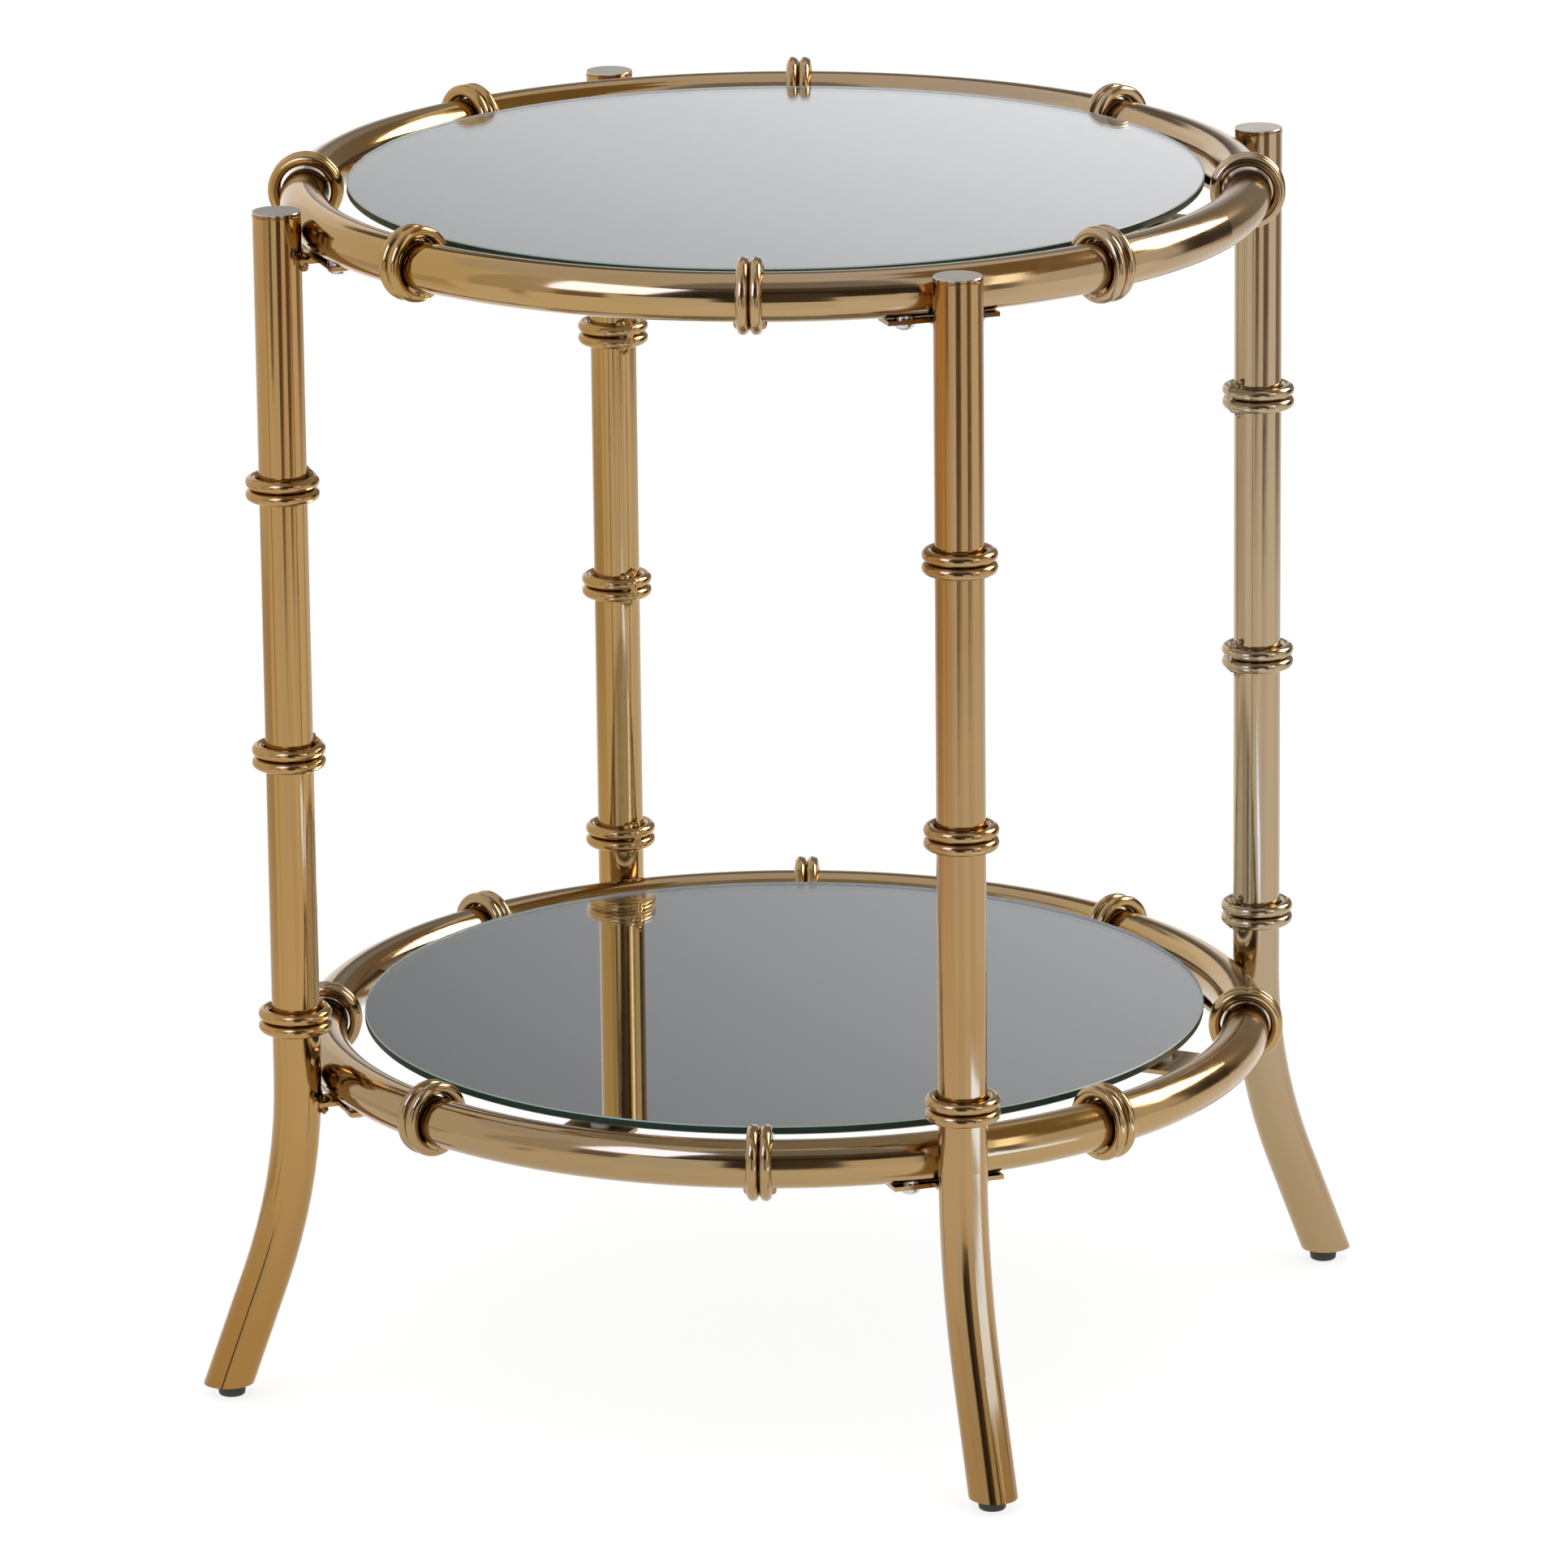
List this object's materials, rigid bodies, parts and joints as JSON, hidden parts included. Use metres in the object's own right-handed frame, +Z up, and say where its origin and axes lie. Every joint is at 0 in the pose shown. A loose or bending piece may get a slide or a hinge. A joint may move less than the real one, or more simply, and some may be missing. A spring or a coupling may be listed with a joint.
{
  "type": "tiered side table",
  "caption": "Round tiered side table: mirror shelves lie in hoops of polished gold tube carried on outswept tubular legs, with double wire rings as ornament.",
  "frame": {"origin": "on the floor under the middle of the table", "axes": "+Z up along the table's middle; the legs stand on the diagonals between X and Y, and the front right leg lies towards +X and -Y"},
  "size_m": [0.4509, 0.451, 0.5617],
  "materials": {
    "gold_plated_steel": "gold coloured plating, polished to a mirror shine",
    "mirror_glass": "silvered float glass with a ground edge",
    "zinc_plated_steel": "bright zinc plating",
    "clear_soft_plastic": "milky clear and soft",
    "black_rubber": "matt",
    "black_plastic": "matt"
  },
  "bodies": {
    "frame": {"back_left_foot": "black_rubber", "back_left_leg": "gold_plated_steel", "back_left_leg_collar_high": "gold_plated_steel", "back_left_leg_collar_low": "gold_plated_steel", "back_left_leg_collar_middle": "gold_plated_steel", "back_right_foot": "black_rubber", "back_right_leg": "gold_plated_steel", "back_right_leg_collar_high": "gold_plated_steel", "back_right_leg_collar_low": "gold_plated_steel", "back_right_leg_collar_middle": "gold_plated_steel", "front_left_foot": "black_rubber", "front_left_leg": "gold_plated_steel", "front_left_leg_collar_high": "gold_plated_steel", "front_left_leg_collar_low": "gold_plated_steel", "front_left_leg_collar_middle": "gold_plated_steel", "front_right_foot": "black_rubber", "front_right_leg": "gold_plated_steel", "front_right_leg_collar_high": "gold_plated_steel", "front_right_leg_collar_low": "gold_plated_steel", "front_right_leg_collar_middle": "gold_plated_steel", "leg_caps": "gold_plated_steel", "leg_end_plugs": "black_plastic", "lower_back_left_bracket": "gold_plated_steel", "lower_back_right_bracket": "gold_plated_steel", "lower_bracket_screws": "zinc_plated_steel", "lower_front_left_bracket": "gold_plated_steel", "lower_front_right_bracket": "gold_plated_steel", "lower_hoop": "gold_plated_steel", "lower_hoop_collar_1": "gold_plated_steel", "lower_hoop_collar_2": "gold_plated_steel", "lower_hoop_collar_3": "gold_plated_steel", "lower_hoop_collar_4": "gold_plated_steel", "lower_hoop_collar_5": "gold_plated_steel", "lower_hoop_collar_6": "gold_plated_steel", "lower_hoop_collar_7": "gold_plated_steel", "lower_hoop_collar_8": "gold_plated_steel", "lower_mirror_pads": "clear_soft_plastic", "lower_mirror_tabs": "gold_plated_steel", "lower_rivet_nuts": "zinc_plated_steel", "upper_back_left_bracket": "gold_plated_steel", "upper_back_right_bracket": "gold_plated_steel", "upper_bracket_screws": "zinc_plated_steel", "upper_front_left_bracket": "gold_plated_steel", "upper_front_right_bracket": "gold_plated_steel", "upper_hoop": "gold_plated_steel", "upper_hoop_collar_1": "gold_plated_steel", "upper_hoop_collar_2": "gold_plated_steel", "upper_hoop_collar_3": "gold_plated_steel", "upper_hoop_collar_4": "gold_plated_steel", "upper_hoop_collar_5": "gold_plated_steel", "upper_hoop_collar_6": "gold_plated_steel", "upper_hoop_collar_7": "gold_plated_steel", "upper_hoop_collar_8": "gold_plated_steel", "upper_mirror_pads": "clear_soft_plastic", "upper_mirror_tabs": "gold_plated_steel", "upper_rivet_nuts": "zinc_plated_steel"},
    "upper_glass": {"upper_mirror": "mirror_glass"},
    "lower_glass": {"lower_mirror": "mirror_glass"}
  },
  "joints": [
    {"name": "upper_mirror_lift", "type": "slide", "parent": "frame", "child": "upper_glass", "axis": [0, 0, 1], "range_m": [0, 0.1]},
    {"name": "lower_mirror_lift", "type": "slide", "parent": "frame", "child": "lower_glass", "axis": [0, 0, 1], "range_m": [0, 0.1]}
  ]
}
